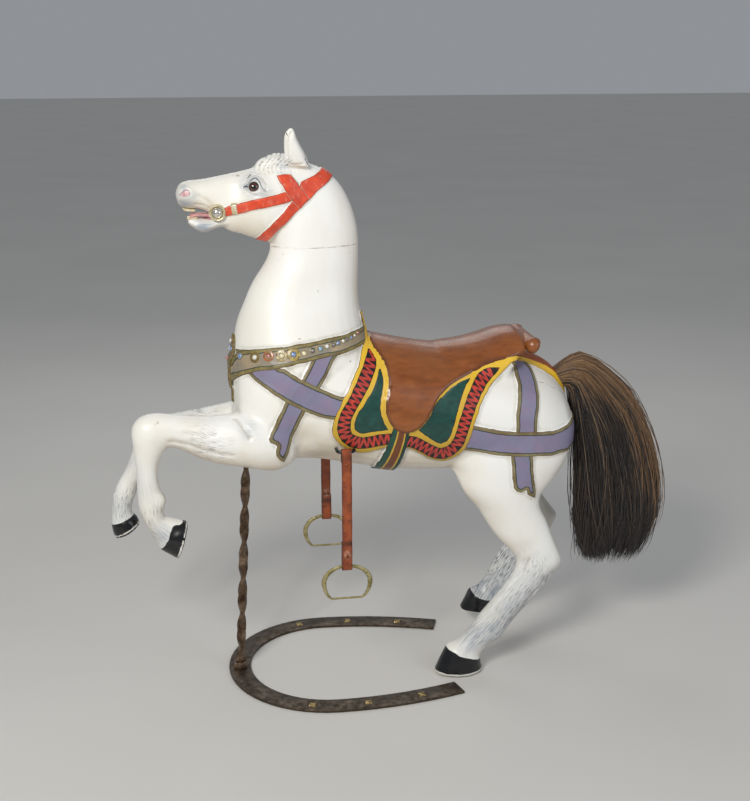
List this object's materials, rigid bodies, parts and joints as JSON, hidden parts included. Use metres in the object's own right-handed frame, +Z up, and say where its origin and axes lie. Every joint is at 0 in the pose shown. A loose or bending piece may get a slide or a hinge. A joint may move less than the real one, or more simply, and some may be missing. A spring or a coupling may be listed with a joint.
{
  "type": "carousel horse",
  "caption": "Carved and painted wooden carousel horse rearing on its hind legs, with saddle, blanket, bridle, stirrups and hair tail, on a twisted iron rod with a horseshoe foot.",
  "frame": {"origin": "on the floor, at the stand's underside, under the foot of the rod", "axes": "+X from the nose towards the tail, +Y to the horse's far side (the viewer of the picture is on -Y), +Z up"},
  "size_m": [1.393, 0.5104, 1.3441],
  "materials": {
    "cream_paint": "glossy aged paint over carved wood",
    "horse_hair": "natural hair",
    "dark_iron": "worn dark wrought iron",
    "brass": "tarnished",
    "chestnut_leather": "worn",
    "brown_glass": "polished"
  },
  "bodies": {
    "root": {"horse": "cream_paint", "tail": "horse_hair", "stand_rod": "dark_iron", "rod_foot": "dark_iron", "horseshoe_base": "dark_iron", "nail_near_1": "brass", "nail_near_2": "brass", "nail_near_3": "brass", "stirrup_hook_near": "dark_iron", "stirrup_leather_near": "chestnut_leather", "stirrup_iron_near": "brass", "rivet_near_upper": "brass", "rivet_near_lower": "brass", "eye_near": "brown_glass", "bit_boss_near": "brass", "strap_keeper_near": "brass", "nail_far_1": "brass", "nail_far_2": "brass", "nail_far_3": "brass", "stirrup_hook_far": "dark_iron", "stirrup_leather_far": "chestnut_leather", "stirrup_iron_far": "brass", "rivet_far_upper": "brass", "rivet_far_lower": "brass", "eye_far": "brown_glass", "bit_boss_far": "brass", "strap_keeper_far": "brass"}
  },
  "joints": []
}
